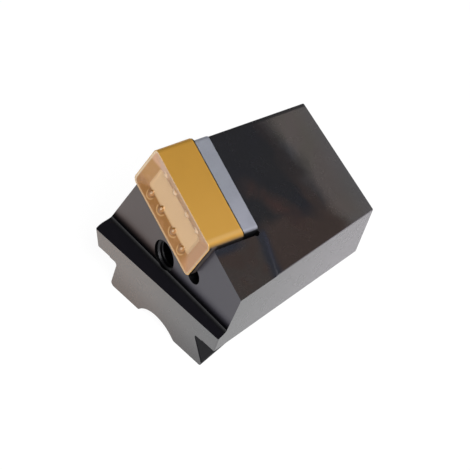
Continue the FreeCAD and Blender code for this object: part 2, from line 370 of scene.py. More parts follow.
    def mark(self, cut: Callable[[Vector, Vector], Cut]) -> None:
        """Writes how each face was machined, which cut tells from a face's middle and normal."""
        found = self.obj.data.attributes.new(CUT, "FLOAT", "FACE")
        found.data.foreach_set("value", [cut(f.center, f.normal).value for f in self.obj.data.polygons])

    def finish(self, axes: Axes, body: str, slot: str, look: Material, nodes: Sequence[str] = ()) -> None:
        """Places the piece in the row frame, gives it its material and attaches it to the body that it moves
        with.

        Args:
            axes: The axes that it was modelled in.
            body: Body that it moves with.
            slot: Material slot of the record. Not used.
            look: Its material.
            nodes: CAD nodes that it stands for.
        """
        self.place(LAYOUT.to_row(axes))
        self.shade()
        self.obj.data.materials.clear()
        self.obj.data.materials.append(look)
        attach(self.obj, body)
        if nodes:
            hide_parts(*nodes)
        log.info("%s: %d faces on %s", self.obj.name, len(self.obj.data.polygons), body)


def on_plane(point: Vector, plane_point: Vector, normal: Vector) -> bool:
    """True for a point that lies in a plane."""
    return abs((point - plane_point).dot(normal)) < NEAR


def sharpness(edge: Edge) -> float:
    """Turn between an edge's two faces, in degrees, above 0 where it stands out. 0 if there aren't two."""
    return math.degrees(edge.calc_face_angle_signed(0.0))


def is_sharp(edge: Edge) -> bool:
    """True for a sharp edge that stands out."""
    return sharpness(edge) > SHARP


def spans_y(edge: Edge, least: float = 1.0) -> bool:
    """True for an edge that reaches farther along Y than the least."""
    return abs(edge.verts[0].co.y - edge.verts[1].co.y) > least


# Shader maths


class Sock:
    """An output of a node, or a number, that maths is written on."""

    def __init__(self, graph: "Graph", out: bpy.types.NodeSocket) -> None:
        """Keeps the socket and the graph that new nodes go in."""
        self.graph = graph
        self.out = out

    def maths(self, operation: str, *others: Any, flip: bool = False) -> "Sock":
        """Adds a Math node.

        Args:
            operation: The Math node's operation.
            others: Its other values, each a Sock or a number.
            flip: Puts this socket second.

        Returns:
            The node's output.
        """
        values = (self, *others)
        if flip:
            values = values[::-1]
        return self.graph.out("ShaderNodeMath", dict(enumerate(values)), operation=operation)

    def __add__(self, other: Any) -> "Sock":
        """This plus the other."""
        return self.maths("ADD", other)

    def __sub__(self, other: Any) -> "Sock":
        """This less the other."""
        return self.maths("SUBTRACT", other)

    def __rsub__(self, other: Any) -> "Sock":
        """The other less this."""
        return self.maths("SUBTRACT", other, flip=True)

    def __mul__(self, other: Any) -> "Sock":
        """This times the other."""
        return self.maths("MULTIPLY", other)

    __radd__ = __add__
    __rmul__ = __mul__

    def most(self, other: Any) -> "Sock":
        """The greater of this and the other."""
        return self.maths("MAXIMUM", other)

    def distance(self, middle: float) -> "Sock":
        """How far the value is from a middle."""
        return (self - middle).maths("ABSOLUTE")

    def rise(self, start: float, end: float) -> "Sock":
        """Smooth step from 0 at start to 1 at end, which may be the lower one."""
        steps = {"Value": self, "From Min": start, "From Max": end, "To Min": 0.0, "To Max": 1.0}
        return self.graph.out("ShaderNodeMapRange", steps, "Result", interpolation_type="SMOOTHSTEP")


class Graph:
    """Node tree of one material or of the world."""

    def __init__(self, tree: bpy.types.NodeTree) -> None:
        """Empties the tree."""
        self.tree = tree
        tree.nodes.clear()

    def node(self, kind: str, inputs: dict[Any, Any] | None = None, **settings: Any) -> bpy.types.Node:
        """Adds a node.

        Args:
            kind: The node's type.
            inputs: Values or links by the name or number of the socket.
            settings: Its settings.

        Returns:
            The new node.
        """
        made = self.tree.nodes.new(kind)
        for name, value in settings.items():
            setattr(made, name, value)
        for name, value in (inputs or {}).items():
            socket = made.inputs[name]
            if isinstance(value, Sock):
                value = value.out
            if isinstance(value, bpy.types.NodeSocket):
                self.tree.links.new(value, socket)
            else:
                socket.default_value = value
        return made

    def out(self, kind: str, inputs: dict[Any, Any] | None, socket: Any = 0, **settings: Any) -> Sock:
        """Adds a node and gives one of its outputs, by name or number."""
        return Sock(self, self.node(kind, inputs, **settings).outputs[socket])

    def place(self) -> Sock:
        """Object coordinates, in metres."""
        return self.out("ShaderNodeTexCoord", None, "Object")

    def mapped(self, axes: Axes, stretch: Sequence[float] = (1, 1, 1)) -> Sock:
        """Object coordinates seen in other axes, in millimetres.

        Args:
            axes: Those axes.
            stretch: Factor for each axis, which draws a pattern out where it is small.

        Returns:
            The coordinates.
        """
        where, turn, size = LAYOUT.to_row(axes).decompose()
        scale = [s / f for s, f in zip(size, stretch)]
        inputs = {"Vector": self.place(), "Location": where, "Rotation": turn.to_euler(), "Scale": scale}
        return self.out("ShaderNodeMapping", inputs, vector_type="TEXTURE")

    def split(self, vector: Sock) -> list[Sock]:
        """The three numbers of a vector."""
        return [Sock(self, out) for out in self.node("ShaderNodeSeparateXYZ", {0: vector}).outputs]

    def noise(
        self, vector: Sock, scale: float, detail: float = 3.0, rough: float = 0.5, warp: float = 0.0,
    ) -> Sock:
        """Noise from 0 to 1, with the scale in cells per millimetre and the strength of its finer layers."""
        inputs = {"Vector": vector, "Scale": scale, "Detail": detail, "Roughness": rough, "Distortion": warp}
        return self.out("ShaderNodeTexNoise", inputs)

    def mix(self, share: Any, first: Any, second: Any) -> Sock:
        """Mixes two colours.

        Args:
            share: How much of the second shows.
            first: A colour or a Sock.
            second: A colour or a Sock.

        Returns:
            The mixed colour.
        """
        inputs = {0: share}
        for place, colour in ((6, first), (7, second)):
            inputs[place] = colour if isinstance(colour, Sock) else (*colour, 1.0)
        return self.out("ShaderNodeMix", inputs, 2, data_type="RGBA")

    @staticmethod
    def spread(first: Sock, second: Sock) -> Sock:
        """Length of two numbers that stand square to each other."""
        return (first * first + second * second).maths("SQRT")

    def bump(self, height: Sock, depth: float, strength: float) -> Sock:
        """Normal from a height of 0 to 1 over a depth in metres."""
        return self.out("ShaderNodeBump", {"Strength": strength, "Distance": depth, "Height": height})


def scaled(colour: Triple, factor: float) -> tuple[float, ...]:
    """A colour made darker or lighter."""
    return tuple(part * factor for part in colour)


def turned_away(along: Sock, up: Sock, start: float, low: float, radius: float) -> Sock:
    """Mask for painted shade on a rounded end: how far the round has turned to the wall of the pocket, from 0
    on its top to 1 at its end.
    """
    turn = (along - start).maths("ARCTAN2", up - low).rise(0.25, 1.25)
    return turn * along.rise(start - radius / 16, start + radius / 16)


def new_material(name: str) -> tuple[Material, Graph]:
    """Starts a material.

    Args:
        name: Its name.

    Returns:
        The material and its empty graph.
    """
    made = bpy.data.materials.new(name)
    made.use_nodes = True
    return made, Graph(made.node_tree)


@dataclass(frozen=True)
class Finish(Sizes):
    """A material with one main shader. Its places are in millimetres in the seat's or the head's axes."""

    name: str = "finish"

    def sockets(self, g: Graph) -> dict[str, Any]:
        """Values and links of the main shader, which each finish gives."""
        raise NotImplementedError

    def make(self) -> Material:
        """Builds the material."""
        made, g = new_material(self.name)
        shader = g.node("ShaderNodeBsdfPrincipled", self.sockets(g))
        g.node("ShaderNodeOutputMaterial", {0: shader.outputs[0]})
        return made


@dataclass(frozen=True)
class BlackOxide(Finish):
    """Black oxide on machined steel, with blue-black and brown clouds from the bath.

    The ground faces, at the front and on the right, are a little brighter than the milled ones: a painted
    sheen, a paler grey that grows towards the rear.
    """

    name: str = "black_oxide"
    blue_black: Triple = (0.009, 0.009, 0.013)
    black: Triple = (0.009, 0.009, 0.009)
    # Painted shade: the black line at the foot of the slope.
    painted_shade_black: Triple = (0.001, 0.001, 0.002)
    brown: Triple = (0.031, 0.020, 0.017)
    reddish: Triple = (0.032, 0.0155, 0.014)
    # Painted reflection: a paler patch towards the rear of the top, in grey and pink tones.
    painted_reflection: Triple = (0.081, 0.072, 0.064)
    rosy_reflection: Triple = (0.084, 0.070, 0.068)
    # Painted reflection: the cooler grey at the far rear of the top.
    rear: Triple = (0.083, 0.082, 0.088)
    # Painted sheen: the paler grey of the ground faces, stronger towards the rear.
    grey: Triple = (0.132, 0.116, 0.138)
    warm: Triple = (0.085, 0.042, 0.020)
    facet: Triple = (0.030, 0.025, 0.023)
    blue: Triple = (0.010, 0.013, 0.022)
    # Painted highlight: the pale line along the crease beside the pocket.
    crease: Triple = (0.022, 0.024, 0.040)
    milled: Triple = (0.007, 0.007, 0.009)
    slope_left: Triple = (0.034, 0.012, 0.009)
    slope_right: Triple = (0.013, 0.009, 0.024)
    ledge: Triple = (0.0135, 0.012, 0.019)
    ior: float = 2.2
    roughness: float = 0.27
    dulling: float = 0.45
    facet_skew: float = 0.16
    facet_back: float = 17.0

    def beside_pocket(
        self, g: Graph, colour: Sock, crown: Sock, along: Sock, back: Sock, clouds: Sock,
    ) -> Sock:
        """Colours the facet beside the pocket, with a bluish edge and a painted highlight as a pale line
        along the crease behind it.

        Args:
            g: The material's graph.
            colour: Colour of the top so far.
            crown: Share of the top.
            along: Distance along the insert.
            back: Distance behind the rake face.
            clouds: Soft noise.

        Returns:
            The colour of the top.
        """
        past = along - self.length
        behind = back + past * self.facet_skew - self.facet_back
        on_facet = behind.rise(0.6, -1.2) * along.rise(29.0, 30.5) * crown
        colour = g.mix(on_facet, colour, g.mix(clouds.rise(0.35, 0.6), self.brown, self.facet))
        rim = (past + (clouds - 0.5) * 3).rise(2.8, 0.9) * on_facet * back.rise(14.0, 7.0)
        colour = g.mix(rim * 0.9, colour, self.blue)
        bend = behind + (clouds - 0.5) * 2.5
        fan = bend.distance(0.0).rise(2.8, 0.2) * along.rise(28.5, 30.5) * crown
        colour = g.mix(fan * 0.85, colour, self.blue)
        # Painted highlight: a pale line along the crease.
        crease_highlight = bend.distance(0.7).rise(0.7, 0.1) * along.rise(29.4, 31.0) * along.rise(42.0, 35.0)
        return g.mix(crease_highlight * crown * 0.6, colour, self.crease)

    def top(self, g: Graph, crown: Sock, along: Sock, back: Sock, clouds: Sock, broad: Sock) -> Sock:
        """Lays the clouds of the bath on the top: dark, then brown stains, then a painted reflection, a paler
        patch towards the rear.

        Args:
            g: The material's graph.
            crown: Share of the top.
            along: Distance along the insert.
            back: Distance behind the rake face.
            clouds: Soft noise.
            broad: Softer noise.

        Returns:
            The colour of the top.
        """
        wisp = (clouds - 0.5) * 30 + (broad - 0.5) * 12
        border = back - along * 0.14 + wisp * 0.35
        corner = (along + back * 0.08 + wisp * 0.5).rise(28.5, 34.0)
        band = border.distance(32.0).rise(2.6, 0.3) * (along.rise(14.0, 28.0) * 0.45 + 0.25)
        lean = back - 24.6 - (along - 24.0) * 0.55
        streak = (g.spread((along - 25.0) * 0.45, lean) + wisp * 0.35).rise(5.0, 0.0)
        stain = corner.most(band).most(streak)
        colour = g.mix(broad.rise(0.4, 0.6) * crown * 0.5, self.blue_black, self.black)
        colour = g.mix(stain * crown, colour, g.mix(streak, self.brown, self.reddish))
        # Painted reflection: a paler patch towards the rear of the top, greyer at the far rear.
        reflection_share = border.rise(31.5, 38.5) * (broad * 0.4 + 0.68)
        rear_reflection = (back.rise(42.0, 52.0) * 0.9).most(along.rise(31.0, 39.0))
        rear_reflection = rear_reflection.most(g.spread(along - 12.0, back - 35.0).rise(5.0, 0.5) * 0.8)
        reflection_tone = g.mix(clouds.rise(0.42, 0.58) * 0.7, self.painted_reflection, self.rosy_reflection)
        colour = g.mix(reflection_share * crown, colour, g.mix(rear_reflection, reflection_tone, self.rear))
        return g.mix(along.rise(2.05, 1.65) * crown * 0.8, colour, self.milled)

    @staticmethod
    def faces(milled: Sock, cut: Cut) -> Sock:
        """1 on the faces that were machined in one way, and 0 elsewhere."""
        return milled.distance(cut.value).rise(0.04, 0.02)

    def slope_foot(self, above: Sock, deep: Sock, milled: Sock) -> tuple[Sock, Sock]:
        """Painted shade and highlight on the slope and the ledge: the slope's reflection darkens towards the
        corner, the ledge stays paler by the corner as a pale ridge, and a black line lies on the slope over
        the corner.

        Args:
            above: Height above the ledge, square to it.
            deep: Distance behind the rake face.
            milled: The face's number from its cut attribute, which also sets its painted shade.

        Returns:
            The share of metal in the shader, which takes its reflection away as painted shade, and the share
            of the painted black line.
        """
        before = (deep - self.slope_drop) * -1
        # Painted shade: more metal darkens the reflection near the corner; less of it on the ledge by the
        # corner and on the round leaves a pale ridge, a painted highlight.
        on_slope = above.rise(4.6, 0.8) * 0.55 - above.rise(0.20, 0.0) * 0.05
        on_ledge = before.rise(0.2, 0.6) * 0.20
        slope = self.faces(milled, Cut.SLOPE)
        # Painted shade: a black line at the foot of the slope.
        black = slope * above.rise(-0.05, 0.2) * above.rise(3.2, 0.8)
        metal = slope * on_slope + self.faces(milled, Cut.LEDGE) * on_ledge
        return metal - self.faces(milled, Cut.CORNER) * 0.24, black

    def sockets(self, g: Graph) -> dict[str, Any]:
        """Colour and dullness by the way that a face was machined, with painted sheen, a painted reflection
        and painted shade.

        Args:
            g: The material's graph.

        Returns:
            Values and links of the main shader.
        """
        seat = g.mapped(Axes.SEAT)
        along, back, _ = g.split(seat)
        across, ahead, high = g.split(g.mapped(Axes.HEAD))
        cut = g.out("ShaderNodeAttribute", None, "Fac", attribute_name=CUT)
        crown, milled = cut.rise(0.0, -0.6), cut.most(0.0)
        clouds, broad = g.noise(seat, 0.07, 4.0, 0.55, 0.8), g.noise(seat, 0.035, 2.0)
        small = g.noise(seat, 0.30, 1.0)
        lay = g.noise(g.mapped(Axes.SEAT, (1.5, 1.5, 0.2)), 1.0, 2.0)
        colour = self.top(g, crown, along, back, clouds, broad)
        colour = self.beside_pocket(g, colour, crown, along, back, clouds)
        front = (1 - crown) * ahead.rise(0.5, 0.1)
        # Painted sheen: the ground faces get a paler grey, stronger towards the rear.
        sheen = (1 - crown) * back.rise(-5.0, 55.0)
        colour = g.mix(sheen * 0.95 + (broad - 0.5) * 0.1, colour, self.grey)
        colour = g.mix(front * across.rise(26.0, -20.0) * (clouds * 0.5 + 0.6), colour, self.warm)
        tint = g.mix(across.rise(-5.0, 8.0), self.slope_left, self.slope_right)
        tint = g.mix(self.faces(milled, Cut.SLOPE), self.milled, tint)
        tint = g.mix(self.faces(milled, Cut.LEDGE), tint, self.ledge)
        rise = math.radians(self.ledge_angle)
        above = (high - self.flange_height) * math.cos(rise) - ahead * math.sin(rise)
        darker, black = self.slope_foot(above, back, milled)
        # Painted shade: a black line at the foot of the slope.
        tint = g.mix(black, tint, self.painted_shade_black)
        # Metal takes the reflection away: real dulling of the milled faces, painted shade on the faces with
        # high numbers and near the slope's foot, and the front darker towards the bottom.
        dull_and_shade = milled * self.dulling + darker + front * high.rise(2.0, -10.0) * 0.45
        return {
            "Base Color": g.mix(cut.rise(0.0, 0.8), colour, tint),
            "Roughness": self.roughness + (small - 0.5) * 0.03 + milled * 0.05 + black * 0.6,
            "Metallic": dull_and_shade.maths("MINIMUM", 1.0).most(0.0),
            "IOR": self.ior,
            "Normal": g.bump(lay, 1e-6, 0.1),
        }


@dataclass(frozen=True)
class GoldCoating(Finish):
    """Gold coating of the insert: satin flanks, a glossy chip breaker and a paler floor."""

    name: str = "gold_coating"
    flank: Triple = (0.62, 0.32, 0.048)
    flank_end: Triple = (0.765, 0.415, 0.082)
    # Painted highlight: a pale band on the flank before its rounded end.
    rounded: Triple = (0.88, 0.55, 0.20)
    # Painted shade: on the round where the end turns to the pocket's wall, in the slot between coating and
    # seat, and on the end's flat beside the slope.
    shadow: Triple = (0.010, 0.006, 0.003)
    shaded: Triple = (0.130, 0.105, 0.095)
    land: Triple = (0.60, 0.375, 0.19)
    left_land: Triple = (0.72, 0.55, 0.36)
    slope: Triple = (0.43, 0.20, 0.036)
    lower_slope: Triple = (0.34, 0.138, 0.018)
    end_slope: Triple = (0.485, 0.225, 0.08)
    # Painted shade round the crests of the fingers.
    ring: Triple = (0.22, 0.085, 0.012)
    tip: Triple = (0.66, 0.38, 0.15)
    # Painted highlight on the crests of the fingers.
    crest: Triple = (0.82, 0.57, 0.36)
    blush: Triple = (0.66, 0.37, 0.22)
    floor: Triple = (0.745, 0.485, 0.25)
    narrowing: float = 0.51

    def finger(self, along: Sock, up: Sock, place: tuple[float, float]) -> tuple[Sock, Sock, Sock]:
        """Marks the four mirrored fingers of one size.

        Args:
            along: Distance along the insert.
            up: Distance up its short edge.
            place: Finger's offset from the middle of the insert.

        Returns:
            Painted shade in a dark ring round their crests, their paler rounded tips towards the edge, and
            painted highlights on their crests.
        """
        aside = along.distance(self.length / 2).distance(place[0])
        outwards = up.distance(-self.width / 2) - place[1]
        upper = up.rise(-9.0, -8.0)
        crest = Graph.spread(aside, outwards + 0.9)
        # Painted shade: a dark ring round each crest of the lower fingers.
        ring = crest.distance(1.15).rise(0.40, 0.05) * outwards.rise(0.9, -0.4) * (1 - upper)
        arc = Graph.spread(aside * self.narrowing * place[0] ** 0.2, (outwards + 0.6) * 0.54)
        tip = arc.distance(1.0).rise(0.20, 0.05) * outwards.rise(-0.8, 0.0) * (1 - upper)
        # Painted highlights: a pale patch on each upper finger and a smaller one on each lower crest.
        highlight_blob = Graph.spread(aside * 0.9, outwards + 0.4).rise(1.15, 0.65) * upper
        highlight_spot = Graph.spread(aside, outwards * 0.7 + 0.75).rise(0.42, 0.18) * (1 - upper)
        return ring, tip, highlight_blob.most(highlight_spot)

    def chip_breaker(self, g: Graph, along: Sock, up: Sock, patch: Sock) -> Sock:
        """Colours the slopes of the chip breaker and their fingers.

        Args:
            g: The material's graph.
            along: Distance along the insert.
            up: Distance up its short edge.
            patch: Noise in small patches.

        Returns:
            The colour of the slopes.
        """
        wash = g.mix(up.rise(-11.0, -14.0), self.slope, self.lower_slope)
        wash = g.mix(along.rise(24.5, 27.5), wash, self.end_slope)
        wash = g.mix(patch.rise(0.45, 0.65) * 0.35, wash, self.end_slope)
        wash = g.mix(up.rise(-5.0, -3.5) * along.rise(9.0, 5.0) * 0.8, wash, self.blush)
        for place in self.fingers:
            ring, tip, crest = self.finger(along, up, place)
            # Painted shade in the rings and painted highlights on the crests.
            wash = g.mix(ring * 0.75, g.mix(tip * 0.7, wash, self.tip), self.ring)
            wash = g.mix(crest * 0.8, wash, self.crest)
        return wash

    def beyond(self, value: Sock, half: float) -> Sock:
        """How far a place lies beyond the start of the rounded corners, along one axis."""
        return (value.distance(half) - abs(half) + self.insert_corner).most(0.0)

    def sockets(self, g: Graph) -> dict[str, Any]:
        """Colour and gloss of the flanks, the land, the slopes and the floor.

        Args:
            g: The material's graph.

        Returns:
            Values and links of the main shader.
        """
        seat = g.mapped(Axes.SEAT)
        along, deep, up = g.split(seat)
        fine, broad = g.noise(seat, 2.2, 4.0, 0.6), g.noise(seat, 0.16)
        round_off = self.insert_corner
        flank = g.mix(broad.rise(0.3, 0.7) * 0.25, self.flank, scaled(self.flank, 0.82))
        flank = g.mix(along.rise(0.0, 32.0) * (broad * 0.5 + 0.4), flank, self.flank_end)
        # Painted highlight: a pale band before the rounded end of the flank.
        flank = g.mix(along.distance(self.length - 1.8).rise(0.9, 0.1) * 0.55, flank, self.rounded)
        off = g.spread(self.beyond(along, self.length / 2), self.beyond(up, -self.width / 2))
        inside = off.rise(round_off - 0.05, round_off - 0.30)
        rake = deep.rise(self.breaker_depth + 0.35, self.breaker_depth + 0.2) * inside
        bottom = deep.rise(self.breaker_depth - 0.30, self.breaker_depth - 0.05)
        wash = self.chip_breaker(g, along, up, g.noise(seat, 0.55))
        pressed = g.mix(deep.rise(0.10, 0.0), wash, g.mix(along.rise(3.0, 0.5), self.land, self.left_land))
        pressed = g.mix(bottom, pressed, g.mix(fine * 0.25, self.floor, self.land))
        # Painted shade: on the round where the end turns to the pocket's wall, in the slot, and on the end's
        # flat beside the slope.
        turned = turned_away(along, up, self.length - round_off, -round_off, round_off)
        turned = turned * deep.rise(0.03, 0.12) * (1 - rake)
        seam = self.thickness - self.slot
        slot_shade = deep.rise(seam - 0.03, seam + 0.02)
        proud = deep.rise(0.6, 1.1) * deep.rise(2.6, 2.1) * along.rise(self.length - 0.3, self.length - 0.1)
        dark = g.mix(proud, self.shadow, self.shaded)
        return {
            "Base Color": g.mix(turned.most(slot_shade), g.mix(rake, flank, pressed), dark),
            "Roughness": 0.36 - rake * 0.16 + rake * bottom * 0.24 + (fine - 0.5) * 0.08,
            "Metallic": 0.35,
            "IOR": 1.8,
            "Normal": g.bump(fine, 6e-6, 0.3),
        }


@dataclass(frozen=True)
class GroundCarbide(Finish):
    """Bare sintered carbide, ground to a fine blue-grey."""

    name: str = "ground_carbide"
    colour: Triple = (0.34, 0.355, 0.41)
    end_colour: Triple = (0.42, 0.425, 0.50)
    patch: Triple = (0.26, 0.275, 0.33)
    shadow: Triple = (0.008, 0.009, 0.012)

    def sockets(self, g: Graph) -> dict[str, Any]:
        """Grain and grinding lines, lighter to the right.

        Args:
            g: The material's graph.

        Returns:
            Values and links of the main shader.
        """
        seat = g.mapped(Axes.SEAT)
        along, _, up = g.split(seat)
        tone = g.noise(seat, 5.0, 3.0, 0.65).rise(0.3, 0.7)
        lay = g.noise(g.mapped(Axes.SEAT, (0.3, 5.0, 5.0)), 1.2, 3.0, 0.6)
        colour = g.mix(tone, scaled(self.colour, 0.9), scaled(self.colour, 1.1))
        colour = g.mix(along.rise(14.0, 29.0) * 0.8, colour, self.end_colour)
        colour = g.mix(g.noise(seat, 0.18, 2.0).rise(0.4, 0.7) * 0.25, colour, self.patch)
        start, low = self.shim_end - self.shim_corner, self.shim_top - self.shim_corner
        # Painted shade on the rounded end of the plate, where it turns to the pocket's wall.
        turned = turned_away(along, up, start, low, self.shim_corner)
        return {
            "Base Color": g.mix(turned, colour, self.shadow),
            "Roughness": 0.42 + (lay - 0.5) * 0.12,
            "Metallic": 0.4,
            "Normal": g.bump(lay, 3e-6, 0.4),
        }


@dataclass(frozen=True)
class SpringSteel(Finish):
    """Bright spring steel with fine drawn lines."""

    name: str = "spring_steel"
    colour: Triple = (0.40, 0.40, 0.41)

    def sockets(self, g: Graph) -> dict[str, Any]:
        """Drawn lines in the colour, the gloss and the surface.

        Args:
            g: The material's graph.

        Returns:
            Values and links of the main shader.
        """
        lines = g.noise(g.mapped(Axes.SEAT, (5.0, 0.3, 5.0)), 1.5, 3.0, 0.6)
        return {
            "Base Color": g.mix(lines, scaled(self.colour, 0.8), self.colour),
            "Roughness": 0.28 + (lines - 0.5) * 0.15,
            "Metallic": 1.0,
            "Normal": g.bump(lines, 3e-6, 0.4),
        }


# Pieces


@dataclass(frozen=True)
class HeadBody(Sizes):
    """Steel block with its flange, dovetail foot, insert pocket and bores."""

    flange_width: float = 50.9
    ledge_round: float = 0.65
    depth: float = 53.0
    taper: float = 8.3
    right_lean: float = 19.0
    left_lean: float = 7.0
    edge_round: float = 0.35
    foot_height: float = 9.6
    neck_width: float = 33.8
    flank_angle: float = 18.7
    foot_taper: float = 13.7
    foot_length: float = 36.0
    foot_root: float = 1.5
    neck_round: float = 1.6
    corner_round: float = 1.08
    notch_radius: float = 10.1
    notch_depth: float = 3.5
    notch_round: float = 0.4
    notch_margin: float = 4.0
    front_skin: float = 0.05
    slope_back: float = 20.0
    facing_front: float = -0.3
    facing_up: float = 0.8
    end_drop: float = 0.86
    outer_turn: float = 5.0
    foot_turn: float = 20.0

    def ledge_normal(self) -> Vector:
        """Direction that the ledge faces."""
        rise = math.radians(self.ledge_angle)
        return Vector((0, -math.sin(rise), math.cos(rise)))

    def block(self) -> Workpiece:
        """Flange and block cut from stock by their planes.

        Returns:
            The block, in the head's axes.
        """
        half, far = self.flange_width / 2, self.reach
        stock = Workpiece.cube("head_block", (-far, 0, 0), (far, self.depth, far))
        stock.slice(Vector((half, 0, 0)), side_normal(self.taper, self.right_lean))
        stock.slice(Vector((-half, 0, 0)), side_normal(180 - self.taper, self.left_lean))
        stock.slice(seat_point(self.end_drop, 0, 0), seat_normal(-1, 0, 0))
        stock.slice(seat_point(0, 0, -self.top_drop), seat_normal(0, 0, 1))
        stock.bevel(lambda e: sharpness(e) > self.outer_turn, self.edge_round, 3)
        point, normal = Vector((0, 0, self.flange_height)), self.ledge_normal()
        face, out = seat_point(0, self.slope_drop, 0), seat_normal(0, -1, 0)
        step = Workpiece.cube("step", (-far, -far, -far), (far, far, far))
        step.slice(point, normal, keep_beyond=True)
        step.slice(face, out, keep_beyond=True)
        stock.cut(step)

        def in_corner(edge: Edge) -> bool:
            """True for an edge between the ledge and the slope."""
            return all(on_plane(v.co, point, normal) and on_plane(v.co, face, out) for v in edge.verts)

        log.info("ledge corner edges rounded: %d", stock.bevel(in_corner, self.ledge_round, 6))
        return stock

    def foot_edge(self, edge: Edge, below: float) -> bool:
        """True for a sharp edge from the front to the rear of the foot, within a height of its underside."""
        low = all(vert.co.z < below - self.foot_height for vert in edge.verts)
        return low and sharpness(edge) > self.foot_turn and spans_y(edge, self.foot_length / 2)

    def foot(self) -> Workpiece:
        """Tapering dovetail foot with its half-round notch.

        Returns:
            The foot, in the head's axes.
        """
        far, half, long = self.reach, self.neck_width / 2, self.foot_length
        foot = Workpiece.cube("foot", (-far, 0, -self.foot_height), (far, long, self.foot_root))
        taper, spread = math.tan(math.radians(self.foot_taper)), math.tan(math.radians(self.flank_angle))
        for side in (1, -1):
            foot.slice(Vector((side * half, 0, 0)), Vector((side, taper, spread)).normalized())
        shoulder = half + 2 * self.neck_round
        foot.add(Workpiece.cube("root", (-shoulder, 0, 0), (shoulder, long, self.foot_root)))
        neck = self.neck_round * math.tan(math.radians(90 - self.flank_angle) / 2)
        foot.bevel(lambda e: sharpness(e) < -self.foot_turn and spans_y(e, long / 2), neck, 8)
        corner = self.corner_round * math.tan(math.radians(90 + self.flank_angle) / 2)
        foot.bevel(lambda e: self.foot_edge(e, 1.0), corner, 6)
        centre = self.notch_depth - self.foot_height - self.notch_radius
        foot.cut(Workpiece.rod("notch", (0, -far, centre), (0, far, centre), self.notch_radius, 160))
        middle = half - self.notch_margin
        foot.bevel(
            lambda e: self.foot_edge(e, 0.5) and abs(e.verts[0].co.x) < middle, self.notch_round, 4
        )
        return foot

    def machining(self, middle: Vector, normal: Vector, pocket: "Pocket") -> Cut:
        """How a face of the body was machined.

        Args:
            middle: Middle of the face in the head's axes.
            normal: Its normal.
            pocket: The pocket and the bores.

        Returns:
            The way of machining.
        """
        if middle.y < self.front_skin:
            return Cut.GROUND
        seat = SEAT.inverted() @ middle
        off = Vector((seat.x - self.screw_x, seat.z - self.screw_z)).length
        in_bore = off < pocket.bore_radius + pocket.mouth and seat.y > self.slope_drop + NEAR
        # The high numbers of the foot, the bore and the pocket paint shade on them.
        if middle.z < -NEAR or in_bore:
            return Cut.DEEP
        if pocket.holds(seat):
            return Cut.POCKET
        forward = normal.y < self.facing_front and middle.y < self.slope_back
        if forward and middle.z > self.flange_height - NEAR:
            if normal.angle(seat_normal(0, -1, 0)) < SLIGHT:
                return Cut.SLOPE
            return Cut.LEDGE if normal.angle(self.ledge_normal()) < SLIGHT else Cut.CORNER
        return Cut.TOP if normal.dot(seat_normal(0, 0, 1)) > self.facing_up else Cut.GROUND

    def build(self, look: Material, pocket: "Pocket") -> None:
        """Builds the body.

        Args:
            look: Its material.
            pocket: The pocket and the bores that are cut into it.
        """
        body = self.block()
        body.add(self.foot())
        for room in pocket.tools():
            room.place(SEAT)
            body.cut(room)
        body.clean()
        rim = body.bevel(pocket.on_mouth, pocket.mouth, 3)
        edge = body.bevel(pocket.on_edge, pocket.edge_break, 1)
        log.info("edges of the pocket broken: %d", edge)
        log.info("edges of the bore's mouth broken: %d", rim)
        body.mark(lambda middle, normal: self.machining(middle, normal, pocket))
        body.finish(Axes.HEAD, "head", "black_steel", look, ["head_body"])


